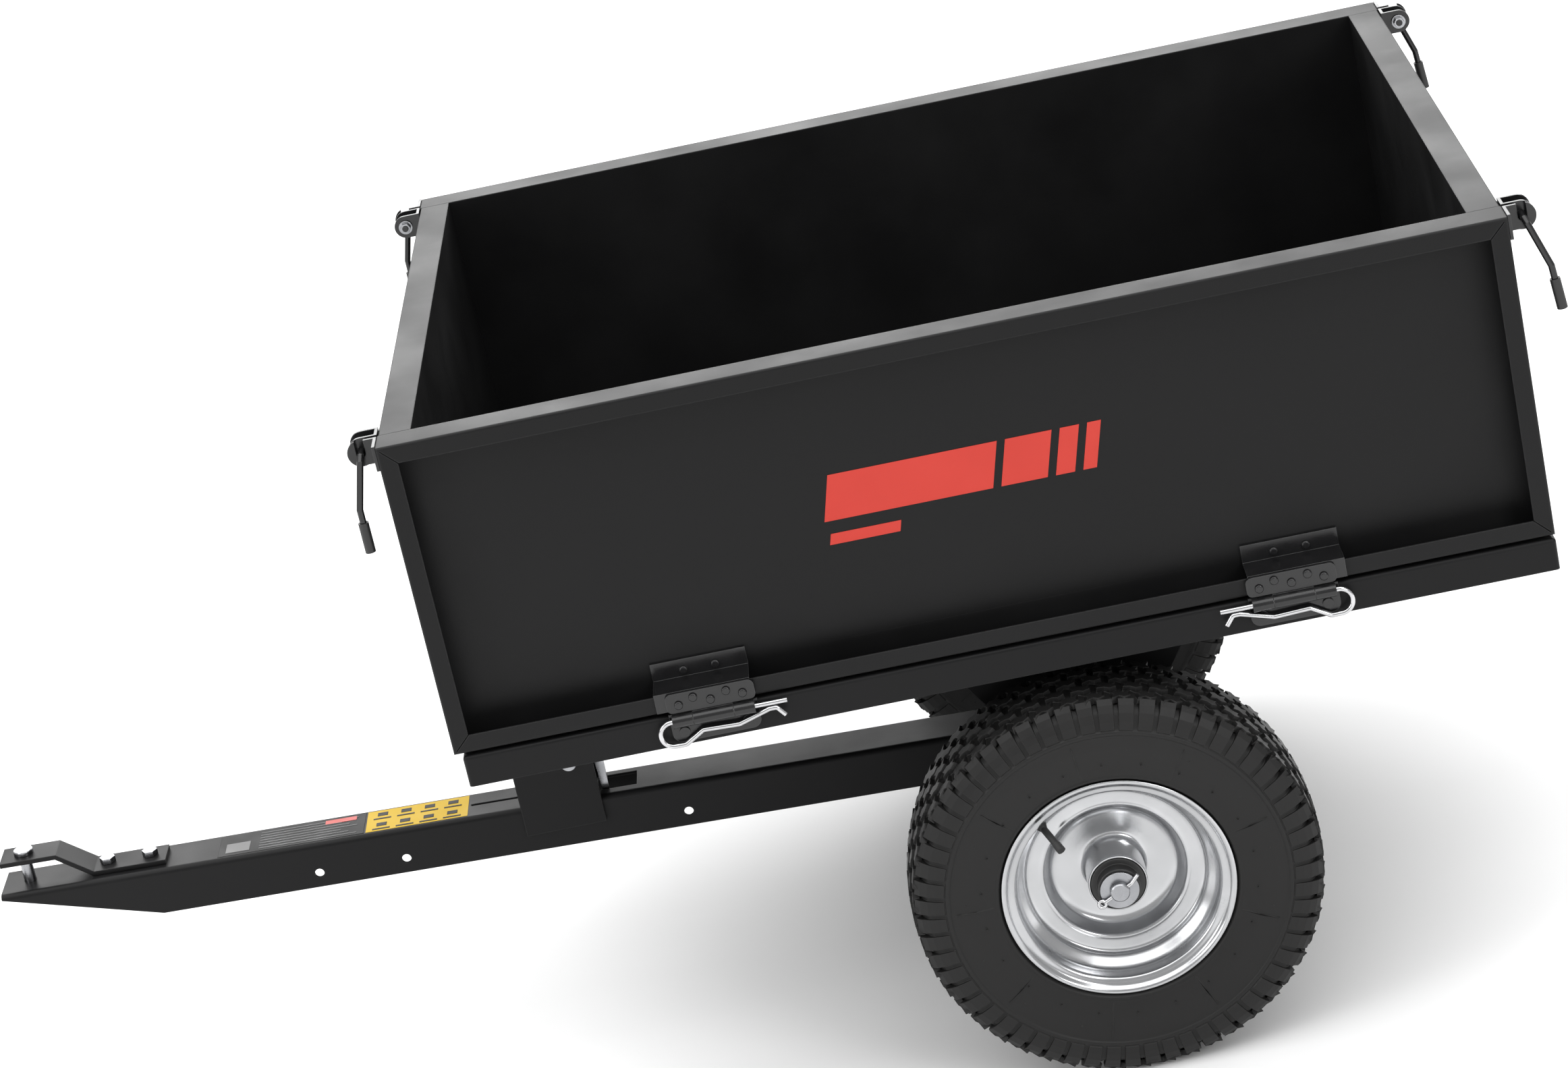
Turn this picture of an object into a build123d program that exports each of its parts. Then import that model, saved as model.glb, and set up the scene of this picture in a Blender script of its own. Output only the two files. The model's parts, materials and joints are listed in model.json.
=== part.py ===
"""Tow-behind tipping cart: drawbar chassis, tipping bed with four drop sides, two pneumatic wheels.

Millimetres, +Z up, forward is -X, the ground is Z = 0 and the whole is centred on X and Y.
"""
from build123d import *
import math
import os

os.makedirs("parts", exist_ok=True)

# ---------------------------------------------------------------- fits
seat = 0.3  # gap left where one piece is fastened on another
run = 0.08  # radial clearance of a turning fit
hole_clear = 0.2  # radial clearance round a bolt shank

# ---------------------------------------------------------------- overall sizes
bed_len = 1064.0
bed_width = 800.0
panel_h = 319.0
tyre_od = 406.0
tyre_w = 112.0
track = 731.0
axle_drop = 268.0  # panel foot down to the axle
axle_from_front = 597.0
hitch_reach = 1161.0  # axle to drawbar tip
tongue_slope = 1.92  # degrees, nose high

# ---------------------------------------------------------------- sheet metal
sheet = 2.0
side_depth = 36.0
end_depth = 32.0
lip = 18.0
bend_r = 2.5
mitre = 0.8
plate = 3.0
floor_t = 2.5
beam_h = 32.0
beam_inset = 7.0  # the frame starts this far behind the front panel's face
panel_lift = 3.5
floor_r = 4.0

# ---------------------------------------------------------------- hinges
pin_r = 2.5
knuckle_r = 6.5
hinge_out = 8.0  # pin axis outside the panel face
hinge_down = 7.0  # pin axis below the panel foot
leaf_w = 86.0
leaf_top = 20.5
leaf_foot = 0.5
knuckle_mid = 40.0
base_foot = 31.0
strap_w = 93.0
strap_shift = 6.5
strap_top = 39.0
clip_leg = 71.0
clip_loop = 41.5
clip_loop_r = 12.5
side_hinge_at = 280.0
front_hinge_at = 230.0

# ---------------------------------------------------------------- corner latches
rod_r = 3.25
rod_out = 17.5
rod_z = 308.0
ear_r = 12.25
ear_a = 58.0  # inboard ear, in from the side face
ear_b = 39.5  # outboard ear
keeper_at = 31.0
keeper_reach = 28.0
horn_r = 13.0
slot_w = 9.0
lever_in = 16.0
lever_leg = 52.0
lever_lean = 14.0
lever_tail = 40.0
rear_lever_swing = 6.0
grip_r = 5.0
grip_len = 30.0

# ---------------------------------------------------------------- running gear
axle_r = 9.5
axle_stub = 26.0  # beyond the bed sides
bracket_in = 112.0
bracket_depth = 28.0
bracket_top = 150.0
bracket_waist = 22.0
bracket_waist_z = 55.0
spacer_r = 13.5

# ---------------------------------------------------------------- drawbar
tongue_w = 64.0
tongue_h = 50.0
tongue_top = 14.0  # above the axle
tongue_t = 3.0
tongue_r = 6.0
tongue_tail = 36.0
taper_len = 166.0
taper_lip = 5.0
hitch_r = 6.5
hitch_back = 28.0
strap_hitch_w = 38.0
strap_hitch_t = 5.0
strap_rise = 26.0

# ---------------------------------------------------------------- tilt latch
saddle_gap = 1.5
saddle_len = 86.0
saddle_foot = 264.0
saddle_web_foot = 212.0
latch_pivot_x = 60.0
latch_pivot_z = -190.0
latch_pin_r = 5.0
latch_t = 5.0

# ---------------------------------------------------------------- derived places
half_w = bed_width / 2
axle_z = tyre_od / 2
foot_z = axle_z + axle_drop
floor_top = foot_z - panel_lift
floor_under = floor_top - floor_t
swing = math.radians(lever_lean + rear_lever_swing)
tail_swing = math.radians(rear_lever_swing)
lever_reach = rod_out + lever_leg * math.sin(swing) + (lever_tail + 3) * math.sin(tail_swing) + grip_r
rear_reach = bed_len - axle_from_front + lever_reach
axle_x = (hitch_reach - rear_reach) / 2
front_x = axle_x - axle_from_front
rear_x = front_x + bed_len
mid_x = (front_x + rear_x) / 2
end_width = bed_width - 2 * (side_depth + seat)

left = Plane(origin=(mid_x, -half_w, foot_z), x_dir=(1, 0, 0), z_dir=(0, 0, 1))
right = Plane(origin=(mid_x, half_w, foot_z), x_dir=(-1, 0, 0), z_dir=(0, 0, 1))
front = Plane(origin=(front_x, 0, foot_z), x_dir=(0, -1, 0), z_dir=(0, 0, 1))
rear = Plane(origin=(rear_x, 0, foot_z), x_dir=(0, 1, 0), z_dir=(0, 0, 1))
slope = math.radians(tongue_slope)
tongue = Plane(
    origin=(axle_x, 0, axle_z),
    x_dir=(math.cos(slope), 0, -math.sin(slope)),
    z_dir=(math.sin(slope), 0, math.cos(slope)),
)

nodes = {}


def within(frame, plane):
    """The plane, given in the frame's own coordinates, placed in the world."""
    return Plane(frame.location * plane.location)


def keep(name, part):
    """Label a finished piece and put it on the export list."""
    part.label = name
    nodes[name] = part


# ---------------------------------------------------------------- panels
def make_panel(frame, width, depth, hinge_at):
    """Sheet pan with its edges folded outwards and returned as lips with mitred corners."""
    with BuildPart(frame) as pan:
        with Locations((0, depth / 2, panel_h / 2)):
            Box(width, depth, panel_h)
        fillet(pan.edges().group_by(Axis(frame.origin, frame.y_dir))[0], bend_r)
        with Locations((0, depth / 2, panel_h / 2)):
            Box(width - 2 * sheet, depth - 2 * sheet, panel_h - 2 * sheet, mode=Mode.SUBTRACT)
        with Locations((0, sheet / 2, panel_h / 2)):
            Box(width - 2 * lip, 2 * sheet, panel_h - 2 * lip, mode=Mode.SUBTRACT)
        reach = (lip - bend_r) * math.sqrt(2)
        inward = (lip + bend_r) / 2 + 1.2
        for along in (-1, 1):
            for up in (-1, 1):
                corner = (
                    along * (width / 2 - inward),
                    sheet / 2,
                    panel_h / 2 + up * (panel_h / 2 - inward),
                )
                with Locations(Location(corner, (0, -45 * along * up, 0))):
                    Box(reach, 1.1 * sheet, mitre, mode=Mode.SUBTRACT)
        for side in (-1, 1):
            with Locations(*[(u, depth - sheet, z) for u, z in strap_bolts(side, hinge_at)]):
                Cylinder(2.5 + hole_clear, 4 * sheet, rotation=(90, 0, 0), mode=Mode.SUBTRACT)
            with Locations(*[(u, 0, z) for u, z in leaf_bolts(side, hinge_at)]):
                Cylinder(2.5 + hole_clear, 4 * sheet, rotation=(90, 0, 0), mode=Mode.SUBTRACT)
    return pan.part


def strap_bolts(side, hinge_at):
    """Places of the two bolts of a hinge strap on the sheet."""
    centre = side * (hinge_at + strap_shift)
    return [(centre - 15.5, 28.0), (centre + 15.5, 28.0)]


def leaf_bolts(side, hinge_at):
    """Places of the five bolts of a hinge leaf on the lip."""
    centre = side * hinge_at
    low = [(centre + u, 8.5) for u in (-31, 0, 31)]
    return low + [(centre + u, 14.0) for u in (-16, 16)]


def base_bolts(side, hinge_at):
    """Places of the two bolts of a hinge base on the beam."""
    centre = side * hinge_at
    return [(centre - 31, -21.0), (centre + 31, -21.0)]


# ---------------------------------------------------------------- hinge pieces
def make_straps(frame, depth, hinge_at):
    """Z-bent hinge straps: up the sheet, across to the lip, down its face."""
    back = depth - sheet - seat - plate / 2
    with BuildPart(frame) as straps:
        for side in (-1, 1):
            centre = side * (hinge_at + strap_shift)
            with BuildSketch(within(frame, Plane.YZ.offset(centre - strap_w / 2))):
                with BuildLine():
                    Polyline(
                        (back, strap_top),
                        (back, lip + seat + plate / 2),
                        (-seat - plate / 2, lip + seat + plate / 2),
                        (-seat - plate / 2, 2),
                    )
                trace(line_width=plate)
            extrude(amount=strap_w)
            with Locations(*[(u, back, z) for u, z in strap_bolts(side, hinge_at)]):
                Cylinder(2.5 + hole_clear, 3 * plate, rotation=(90, 0, 0), mode=Mode.SUBTRACT)
            with Locations(*[(u, -plate / 2, z) for u, z in leaf_bolts(side, hinge_at)]):
                Cylinder(2.5 + hole_clear, 3 * plate, rotation=(90, 0, 0), mode=Mode.SUBTRACT)
    return straps.part


def make_leaves(frame, hinge_at):
    """Upper hinge leaves with the middle knuckle."""
    mid = -2 * seat - 1.5 * plate
    with BuildPart(frame) as leaves:
        for side in (-1, 1):
            centre = side * hinge_at
            with BuildSketch(within(frame, Plane.XZ.offset(-mid - plate / 2))):
                with Locations((centre, (leaf_top + leaf_foot) / 2)):
                    RectangleRounded(leaf_w, leaf_top - leaf_foot, 6)
                with Locations((centre, (8 - hinge_down) / 2)):
                    Rectangle(knuckle_mid - 2 * seat, 8 + hinge_down)
            extrude(amount=plate)
            with Locations((centre, -hinge_out, -hinge_down)):
                Cylinder(knuckle_r, knuckle_mid - 2 * seat, rotation=(0, 90, 0))
                Cylinder(pin_r + run, leaf_w, rotation=(0, 90, 0), mode=Mode.SUBTRACT)
            with Locations(*[(u, mid, z) for u, z in leaf_bolts(side, hinge_at)]):
                Cylinder(2.5 + hole_clear, 2 * plate, rotation=(90, 0, 0), mode=Mode.SUBTRACT)
    return leaves.part


def make_panel_bolts(frame, depth, hinge_at):
    """Bolts of the straps and leaves of one panel, heads outwards."""
    on_sheet = depth - sheet - 2 * seat - plate
    on_leaf = -3 * seat - 2 * plate
    with BuildPart() as bolts:
        for side in (-1, 1):
            places = [(u, on_sheet, z, plate + sheet + 2) for u, z in strap_bolts(side, hinge_at)]
            places += [(u, on_leaf, z, 2 * plate + 3 * seat + 2 * sheet) for u, z in leaf_bolts(side, hinge_at)]
            for u, v, z, length in places:
                here = Plane(frame.location * Location((u, v, z), (90, 0, 0)))
                with BuildPart(here, mode=Mode.PRIVATE) as one:
                    with Locations((0, 0, 1.2)):
                        Cylinder(4.2, 2.4)
                    fillet(one.edges().group_by(Axis(here.origin, here.z_dir))[-1], 1.5)
                    with Locations((0, 0, -length / 2)):
                        Cylinder(2.5, length)
                add(one.part)
    return bolts.part


def make_bases(frame, hinge_at, back):
    """Lower hinge leaves on the beam, with the two outer knuckles."""
    with BuildPart(frame) as bases:
        for side in (-1, 1):
            centre = side * hinge_at
            with BuildSketch(within(frame, Plane.XZ.offset(seat - back))):
                with Locations((centre, -(1.5 + base_foot) / 2)):
                    RectangleRounded(leaf_w, base_foot - 1.5, 9)
                with Locations((centre, -6)):
                    Rectangle(leaf_w, 9)
                with Locations((centre, -hinge_down)):
                    Rectangle(knuckle_mid, 2 * knuckle_r + 2, mode=Mode.SUBTRACT)
            extrude(amount=plate + back)
            for end in (-1, 1):
                length = (leaf_w - 6 - knuckle_mid) / 2
                with Locations((centre + end * (knuckle_mid + length) / 2, -hinge_out, -hinge_down)):
                    Cylinder(knuckle_r, length, rotation=(0, 90, 0))
                    Cylinder(pin_r + run, 2 * length, rotation=(0, 90, 0), mode=Mode.SUBTRACT)
            with Locations(*[(u, 0, z) for u, z in base_bolts(side, hinge_at)]):
                Cylinder(2.5 + hole_clear, 6 * plate, rotation=(90, 0, 0), mode=Mode.SUBTRACT)
    return bases.part


def make_clips(frame, hinge_at):
    """Hairpin clips that serve as hinge pins, loops towards the bed's ends."""
    low = -hinge_down - 2 * clip_loop_r
    rest_z = -hinge_down - 2 * pin_r - 0.6
    with BuildPart(frame) as clips:
        for side in (-1, 1):
            centre = side * hinge_at
            with BuildSketch(within(frame, Plane.YZ.offset(centre - side * clip_leg))) as round_bar:
                with Locations((-hinge_out, -hinge_down)):
                    Circle(pin_r)
            with BuildLine(within(frame, Plane.XZ.offset(hinge_out))) as shape:
                Line((centre - side * clip_leg, -hinge_down), (centre + side * clip_loop, -hinge_down))
                ThreePointArc(
                    (centre + side * clip_loop, -hinge_down),
                    (centre + side * (clip_loop + clip_loop_r), -hinge_down - clip_loop_r),
                    (centre + side * clip_loop, low),
                )
                FilletPolyline(
                    (centre + side * clip_loop, low),
                    (centre + side * 32, low),
                    (centre + side * 13, -20.5),
                    (centre - side * 22, -22.0),
                    (centre - side * 53, rest_z),
                    (centre - side * 60, rest_z),
                    (centre - side * 67, rest_z - 9),
                    radius=4,
                )
            sweep(round_bar.sketch, path=shape.line)
    return clips.part


# ---------------------------------------------------------------- corner latch pieces
def make_ears(frame):
    """U brackets near both top corners of an end panel."""
    with BuildPart(frame) as ears:
        for side in (-1, 1):
            for inset in (ear_a, ear_b):
                at = side * (half_w - inset + plate / 2)
                with Locations((at, -(rod_out + seat) / 2, rod_z)):
                    Box(plate, rod_out - seat, 2 * ear_r)
                with Locations((at, -rod_out, rod_z)):
                    Cylinder(ear_r, plate, rotation=(0, 90, 0))
            width = ear_a - ear_b + plate
            with Locations((side * (half_w - ear_a + width / 2), -seat - plate / 2, rod_z)):
                Box(width, plate, 2 * ear_r)
            with Locations((side * (half_w - ear_a), -rod_out, rod_z)):
                Cylinder(rod_r + run, 6 * ear_r, rotation=(0, 90, 0), mode=Mode.SUBTRACT)
    return ears.part


def make_keepers(frames_and_sides):
    """Slotted keeper plates on the two ends of a side panel."""
    with BuildPart() as keepers:
        for frame, side in frames_and_sides:
            with BuildPart(frame, mode=Mode.PRIVATE) as one:
                at = side * (half_w - keeper_at + plate / 2)
                with Locations((at, -(rod_out + seat) / 2, rod_z)):
                    Box(plate, rod_out - seat, 2 * ear_r)
                with Locations((at, -rod_out, rod_z)):
                    Cylinder(horn_r, plate, rotation=(0, 90, 0))
                    Cylinder(slot_w / 2, 3 * plate, rotation=(0, 90, 0), mode=Mode.SUBTRACT)
                with Locations((at, -rod_out, rod_z + horn_r)):
                    Box(3 * plate, slot_w, 2 * horn_r, mode=Mode.SUBTRACT)
                with Locations((side * (half_w - keeper_at + keeper_reach / 2), -seat - plate / 2, rod_z)):
                    Box(keeper_reach, plate, 2 * ear_r)
            add(one.part)
    return keepers.part


def lever_points(side, extra):
    """Centre line of a latch lever: through the ears, then down outside the keeper."""
    lean = math.radians(lever_lean + extra)
    tail = math.radians(extra)
    u_in = side * (half_w - ear_a - 8)
    u_out = side * (half_w - lever_in)
    v1 = -rod_out - lever_leg * math.sin(lean)
    z1 = rod_z - lever_leg * math.cos(lean)
    v2 = v1 - lever_tail * math.sin(tail)
    z2 = z1 - lever_tail * math.cos(tail)
    return [
        (u_in, -rod_out, rod_z),
        (u_out - side * 4, -rod_out, rod_z),
        (u_out, -rod_out - 4 * math.sin(lean), rod_z - 4 * math.cos(lean)),
        (u_out, v1, z1),
        (u_out, v2, z2),
    ]


def make_lever(frame, side, extra):
    """Bent round-bar latch lever."""
    with BuildPart() as lever:
        with BuildLine(frame) as centre_line:
            Polyline(*lever_points(side, extra))
        with BuildSketch(Plane(origin=centre_line.line @ 0, z_dir=centre_line.line % 0)) as round_bar:
            Circle(rod_r)
        sweep(round_bar.sketch, path=centre_line.line, transition=Transition.RIGHT)
    return lever.part


def make_grip(frame, side, extra):
    """Rubber sleeve on the lever's tail."""
    start = Vector(*lever_points(side, extra)[3])
    end = Vector(*lever_points(side, extra)[4])
    step = (end - start).normalized()
    base = end + step * 3 - step * (grip_len / 2)
    with BuildPart(frame) as grip:
        with Locations(Plane(origin=base, z_dir=step)):
            Cylinder(grip_r, grip_len)
        with Locations(Plane(origin=end - step * grip_len, z_dir=step)):
            Cylinder(rod_r + run, 2 * grip_len, mode=Mode.SUBTRACT)
    return grip.part


def make_nut(frame, side):
    """Washer and hex nut on the inboard end of a lever."""
    face = half_w - ear_a - seat
    with BuildPart(frame) as nut:
        with Locations((side * (face - 1), -rod_out, rod_z)):
            Cylinder(7.5, 2, rotation=(0, 90, 0))
        with BuildSketch(within(frame, Plane.YZ.offset(side * (face - 2)))):
            with Locations((-rod_out, rod_z)):
                RegularPolygon(5.8, 6)
        extrude(amount=-side * 4.5)
        with Locations((side * face, -rod_out, rod_z)):
            Cylinder(rod_r + run, 40, rotation=(0, 90, 0), mode=Mode.SUBTRACT)
    return nut.part


for name, frame, width, depth, hinge_at in (
    ("left", left, bed_len, side_depth, side_hinge_at),
    ("right", right, bed_len, side_depth, side_hinge_at),
    ("front", front, end_width, end_depth, front_hinge_at),
    ("rear", rear, end_width, end_depth, front_hinge_at),
):
    keep(f"panel_{name}", make_panel(frame, width, depth, hinge_at))
    keep(f"hinge_straps_{name}", make_straps(frame, depth, hinge_at))
    keep(f"hinge_leaves_{name}", make_leaves(frame, hinge_at))
    keep(f"hinge_bolts_{name}", make_panel_bolts(frame, depth, hinge_at))

keep("latch_ears_front", make_ears(front))
keep("latch_ears_rear", make_ears(rear))
keep("keepers_left", make_keepers([(front, 1), (rear, -1)]))
keep("keepers_right", make_keepers([(front, -1), (rear, 1)]))
for name, frame, side, extra in (
    ("front_left", front, 1, 0.0),
    ("front_right", front, -1, 0.0),
    ("rear_left", rear, -1, rear_lever_swing),
    ("rear_right", rear, 1, rear_lever_swing),
):
    keep(f"latch_lever_{name}", make_lever(frame, side, extra))
    keep(f"latch_grip_{name}", make_grip(frame, side, extra))
    keep(f"latch_nut_{name}", make_nut(frame, side))

# ---------------------------------------------------------------- bed frame
frame_len = bed_len - beam_inset
frame_x = mid_x + beam_inset / 2
bracket_web = half_w - bracket_in
bracket_bolts = [
    (axle_x + dx, side * (bracket_web - bracket_depth / 2)) for dx in (-110, 110) for side in (-1, 1)
]
saddle_bolts = [
    (front_x + x, side * (tongue_w / 2 + saddle_gap + plate + 13)) for x in (20, 66) for side in (-1, 1)
]
cross_at = [front_x + 290.0, axle_x + 250.0]
hinge_frames = (
    (left, side_hinge_at, 0),
    (right, side_hinge_at, 0),
    (front, front_hinge_at, beam_inset),
    (rear, front_hinge_at, 0),
)

with BuildPart() as floor_pan:
    with Locations((frame_x, 0, floor_top - beam_h / 2)):
        Box(frame_len, bed_width, beam_h)
    upright = floor_pan.edges().filter_by(Axis.Z)
    top_rim = floor_pan.edges().group_by(Axis.Z)[-1]
    fillet(upright + top_rim, floor_r)
    with Locations((frame_x, 0, floor_top - floor_t - beam_h / 2)):
        Box(frame_len - 2 * floor_t, bed_width - 2 * floor_t, beam_h, mode=Mode.SUBTRACT)
    with Locations(*[(x, y, floor_top) for x, y in bracket_bolts + saddle_bolts]):
        Cylinder(4 + hole_clear, 6 * floor_t, mode=Mode.SUBTRACT)
    for frame, hinge_at, back in hinge_frames:
        for side in (-1, 1):
            for u, z in base_bolts(side, hinge_at):
                with Locations(frame.location * Location((u, back, z), (90, 0, 0))):
                    Cylinder(2.5 + hole_clear, 8 * floor_t, mode=Mode.SUBTRACT)
keep("floor_pan", floor_pan.part)

with BuildPart() as cross_members:
    channel_h = beam_h - floor_t - 6
    for x in cross_at:
        with Locations((x, 0, floor_under - seat - channel_h / 2)):
            Box(44, bed_width - 2 * floor_t - 2 * seat, channel_h)
        with Locations((x, 0, floor_under - seat - channel_h / 2 - plate)):
            Box(44 - 2 * plate, bed_width, channel_h, mode=Mode.SUBTRACT)
keep("cross_members", cross_members.part)


def bracket_outline(inset):
    """Corners of an axle bracket's V shape in the X-Z plane, drawn in by the inset."""
    top = floor_under - seat - axle_z - inset
    half = [
        (bracket_waist - inset, 0),
        (bracket_waist - inset, bracket_waist_z),
        (bracket_top - 1.2 * inset, top - 14),
        (bracket_top - 1.2 * inset, top),
    ]
    corners = half + [(-x, z) for x, z in reversed(half)]
    return [(axle_x + x, axle_z + z) for x, z in corners]


for name, side in (("left", -1), ("right", 1)):
    web = side * bracket_web
    with BuildPart() as axle_bracket:
        for inset, mode in ((0, Mode.ADD), (plate, Mode.SUBTRACT)):
            with BuildSketch(Plane.XZ.offset(side * inset - web)):
                with BuildLine():
                    Polyline(*bracket_outline(inset), close=True)
                make_face()
                with Locations((axle_x, axle_z)):
                    Circle(bracket_waist - inset)
            extrude(amount=side * bracket_depth, mode=mode)
        with Locations((axle_x, web, axle_z)):
            Cylinder(axle_r + run, 4 * bracket_depth, rotation=(90, 0, 0), mode=Mode.SUBTRACT)
        with Locations((axle_x, web - side * bracket_depth, axle_z - bracket_waist)):
            Box(3 * bracket_waist, 2 * (bracket_depth - plate), 4 * bracket_waist, mode=Mode.SUBTRACT)
        with Locations(*[(x, y, floor_under) for x, y in bracket_bolts]):
            Cylinder(4 + hole_clear, 8 * plate, mode=Mode.SUBTRACT)
    keep(f"axle_bracket_{name}", axle_bracket.part)

with BuildPart() as latch_saddle:
    wall_in = tongue_w / 2 + saddle_gap
    wall_h = floor_under - seat - (foot_z - saddle_foot)
    wall_mid = foot_z - saddle_foot + wall_h / 2
    saddle_x = front_x - 1 + saddle_len / 2
    for side in (-1, 1):
        with Locations((saddle_x, side * (wall_in + plate / 2), wall_mid)):
            Box(saddle_len, plate, wall_h)
        with Locations((saddle_x, side * (wall_in + plate + 12), floor_under - seat - plate / 2)):
            Box(saddle_len, 26, plate)
        for x in (14, 62):
            with Locations((front_x + x, side * (wall_in + plate), foot_z - 120)):
                Cylinder(2.5, 90)
    web_h = floor_under - seat - (foot_z - saddle_web_foot)
    with Locations((front_x - 1 + plate / 2, 0, foot_z - saddle_web_foot + web_h / 2)):
        Box(plate, 2 * wall_in + 2 * plate, web_h)
    with Locations((front_x + beam_inset + floor_t + seat - 20, 0, floor_top - beam_h - seat + 50)):
        Box(40, bed_width, 100, mode=Mode.SUBTRACT)
    with Locations((front_x + latch_pivot_x, 0, foot_z + latch_pivot_z)):
        Cylinder(latch_pin_r + hole_clear, 200, rotation=(90, 0, 0), mode=Mode.SUBTRACT)
    with Locations(*[(x, y, floor_under) for x, y in saddle_bolts]):
        Cylinder(4 + hole_clear, 8 * plate, mode=Mode.SUBTRACT)
keep("latch_saddle", latch_saddle.part)

with BuildPart() as latch_pivot:
    pin_len = 2 * (wall_in + plate + seat)
    with Locations((front_x + latch_pivot_x, 0, foot_z + latch_pivot_z)):
        Cylinder(latch_pin_r, pin_len + 6, rotation=(90, 0, 0))
    for side in (-1, 1):
        with Locations((front_x + latch_pivot_x, side * (pin_len / 2 + 1.5), foot_z + latch_pivot_z)):
            Cylinder(8, 3, rotation=(90, 0, 0))
keep("latch_pivot", latch_pivot.part)

with BuildPart() as frame_bolts:
    for x, y in bracket_bolts + saddle_bolts:
        with Locations((x, y, floor_top + seat + 1.5)):
            Cylinder(9, 3)
        with Locations((x, y, floor_top - 7)):
            Cylinder(4, 17)
        with BuildSketch(Plane.XY.offset(floor_under - 2 * seat - plate)):
            with Locations((x, y)):
                RegularPolygon(7.5, 6)
        extrude(amount=-6)
    fillet(frame_bolts.edges().group_by(Axis.Z)[-1], 2)
    for frame, hinge_at, back in hinge_frames:
        for side in (-1, 1):
            for u, z in base_bolts(side, hinge_at):
                head = Plane(frame.location * Location((u, -2 * seat - plate, z), (90, 0, 0)))
                with Locations(head.location * Location((0, 0, 0.9))):
                    Cylinder(5.2, 1.8)
                with Locations(head.location * Location((0, 0, -(plate + back + 6) / 2))):
                    Cylinder(2.5, plate + back + 6)
keep("frame_bolts", frame_bolts.part)

with BuildPart() as hinge_bases:
    for frame, hinge_at, back in hinge_frames:
        add(make_bases(frame, hinge_at, back))
keep("hinge_bases", hinge_bases.part)

with BuildPart() as hinge_clips:
    for frame, hinge_at, back in hinge_frames:
        add(make_clips(frame, hinge_at))
keep("hinge_clips", hinge_clips.part)

# ---------------------------------------------------------------- drawbar and hitch
with BuildPart(tongue) as drawbar:
    bar_len = hitch_reach + tongue_tail
    bar_mid = (tongue_tail - hitch_reach) / 2
    with Locations((bar_mid, 0, tongue_top - tongue_h / 2)):
        Box(bar_len, tongue_w, tongue_h)
    top_side = drawbar.edges().filter_by(lambda e: abs(e.length - bar_len) < 1)
    fillet(top_side.group_by(Axis(tongue.origin, tongue.z_dir))[-1], tongue_r)
    with BuildSketch(within(tongue, Plane.XZ.offset(-tongue_w))):
        with BuildLine():
            Polyline(
                (-hitch_reach - 1, tongue_top - tongue_h - 1),
                (-hitch_reach - 1, tongue_top - taper_lip),
                (-hitch_reach, tongue_top - taper_lip),
                (-hitch_reach + taper_len, tongue_top - tongue_h),
                (-hitch_reach + taper_len, tongue_top - tongue_h - 1),
                close=True,
            )
        make_face()
    extrude(amount=2 * tongue_w, mode=Mode.SUBTRACT)
    with Locations((bar_mid, 0, tongue_top - tongue_t - tongue_h / 2)):
        Box(2 * bar_len, tongue_w - 2 * tongue_t, tongue_h, mode=Mode.SUBTRACT)
    with Locations((-hitch_reach + hitch_back, 0, tongue_top)):
        Cylinder(hitch_r + run, 6 * tongue_t, mode=Mode.SUBTRACT)
    with Locations(*[(x - axle_from_front, 0, -20) for x in (-226, -132, 172)]):
        Cylinder(5, 2 * tongue_w, rotation=(90, 0, 0), mode=Mode.SUBTRACT)
    with Locations((-28 - axle_from_front, 0, tongue_top)):
        Box(58, 4.5, 4 * tongue_t, mode=Mode.SUBTRACT)
    with Locations((101 - axle_from_front, 1, tongue_top)):
        Box(42, 34, 4 * tongue_t, mode=Mode.SUBTRACT)
    Cylinder(axle_r + hole_clear, 2 * tongue_w, rotation=(90, 0, 0), mode=Mode.SUBTRACT)
    with Locations((-44, 0, -18), (24, 0, -24)):
        Cylinder(4 + hole_clear, 2 * tongue_w, rotation=(90, 0, 0), mode=Mode.SUBTRACT)
    with Locations(*[(x - axle_from_front, 0, tongue_top) for x in (-450, -404)]):
        Cylinder(4 + hole_clear, 6 * tongue_t, mode=Mode.SUBTRACT)
keep("drawbar", drawbar.part)

with BuildPart(tongue) as drawbar_cheeks:
    for side in (-1, 1):
        with Locations((-10, side * (tongue_w / 2 + seat + plate / 2), -14)):
            Box(92, plate, 40)
    Cylinder(axle_r + hole_clear, 4 * tongue_w, rotation=(90, 0, 0), mode=Mode.SUBTRACT)
    with Locations((-44, 0, -18), (24, 0, -24)):
        Cylinder(4 + hole_clear, 4 * tongue_w, rotation=(90, 0, 0), mode=Mode.SUBTRACT)
keep("drawbar_cheeks", drawbar_cheeks.part)

with BuildPart(tongue) as drawbar_bolts:
    grip_y = tongue_w / 2 + 2 * seat + plate
    with Locations((-44, 0, -18), (24, 0, -24)):
        Cylinder(4, 2 * grip_y + 14, rotation=(90, 0, 0))
    for side in (-1, 1):
        with BuildSketch(within(tongue, Plane.XZ.offset(-side * grip_y))):
            with Locations((-44, -18), (24, -24)):
                RegularPolygon(7.5, 6)
        extrude(amount=-side * 6)
keep("drawbar_bolts", drawbar_bolts.part)

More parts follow.
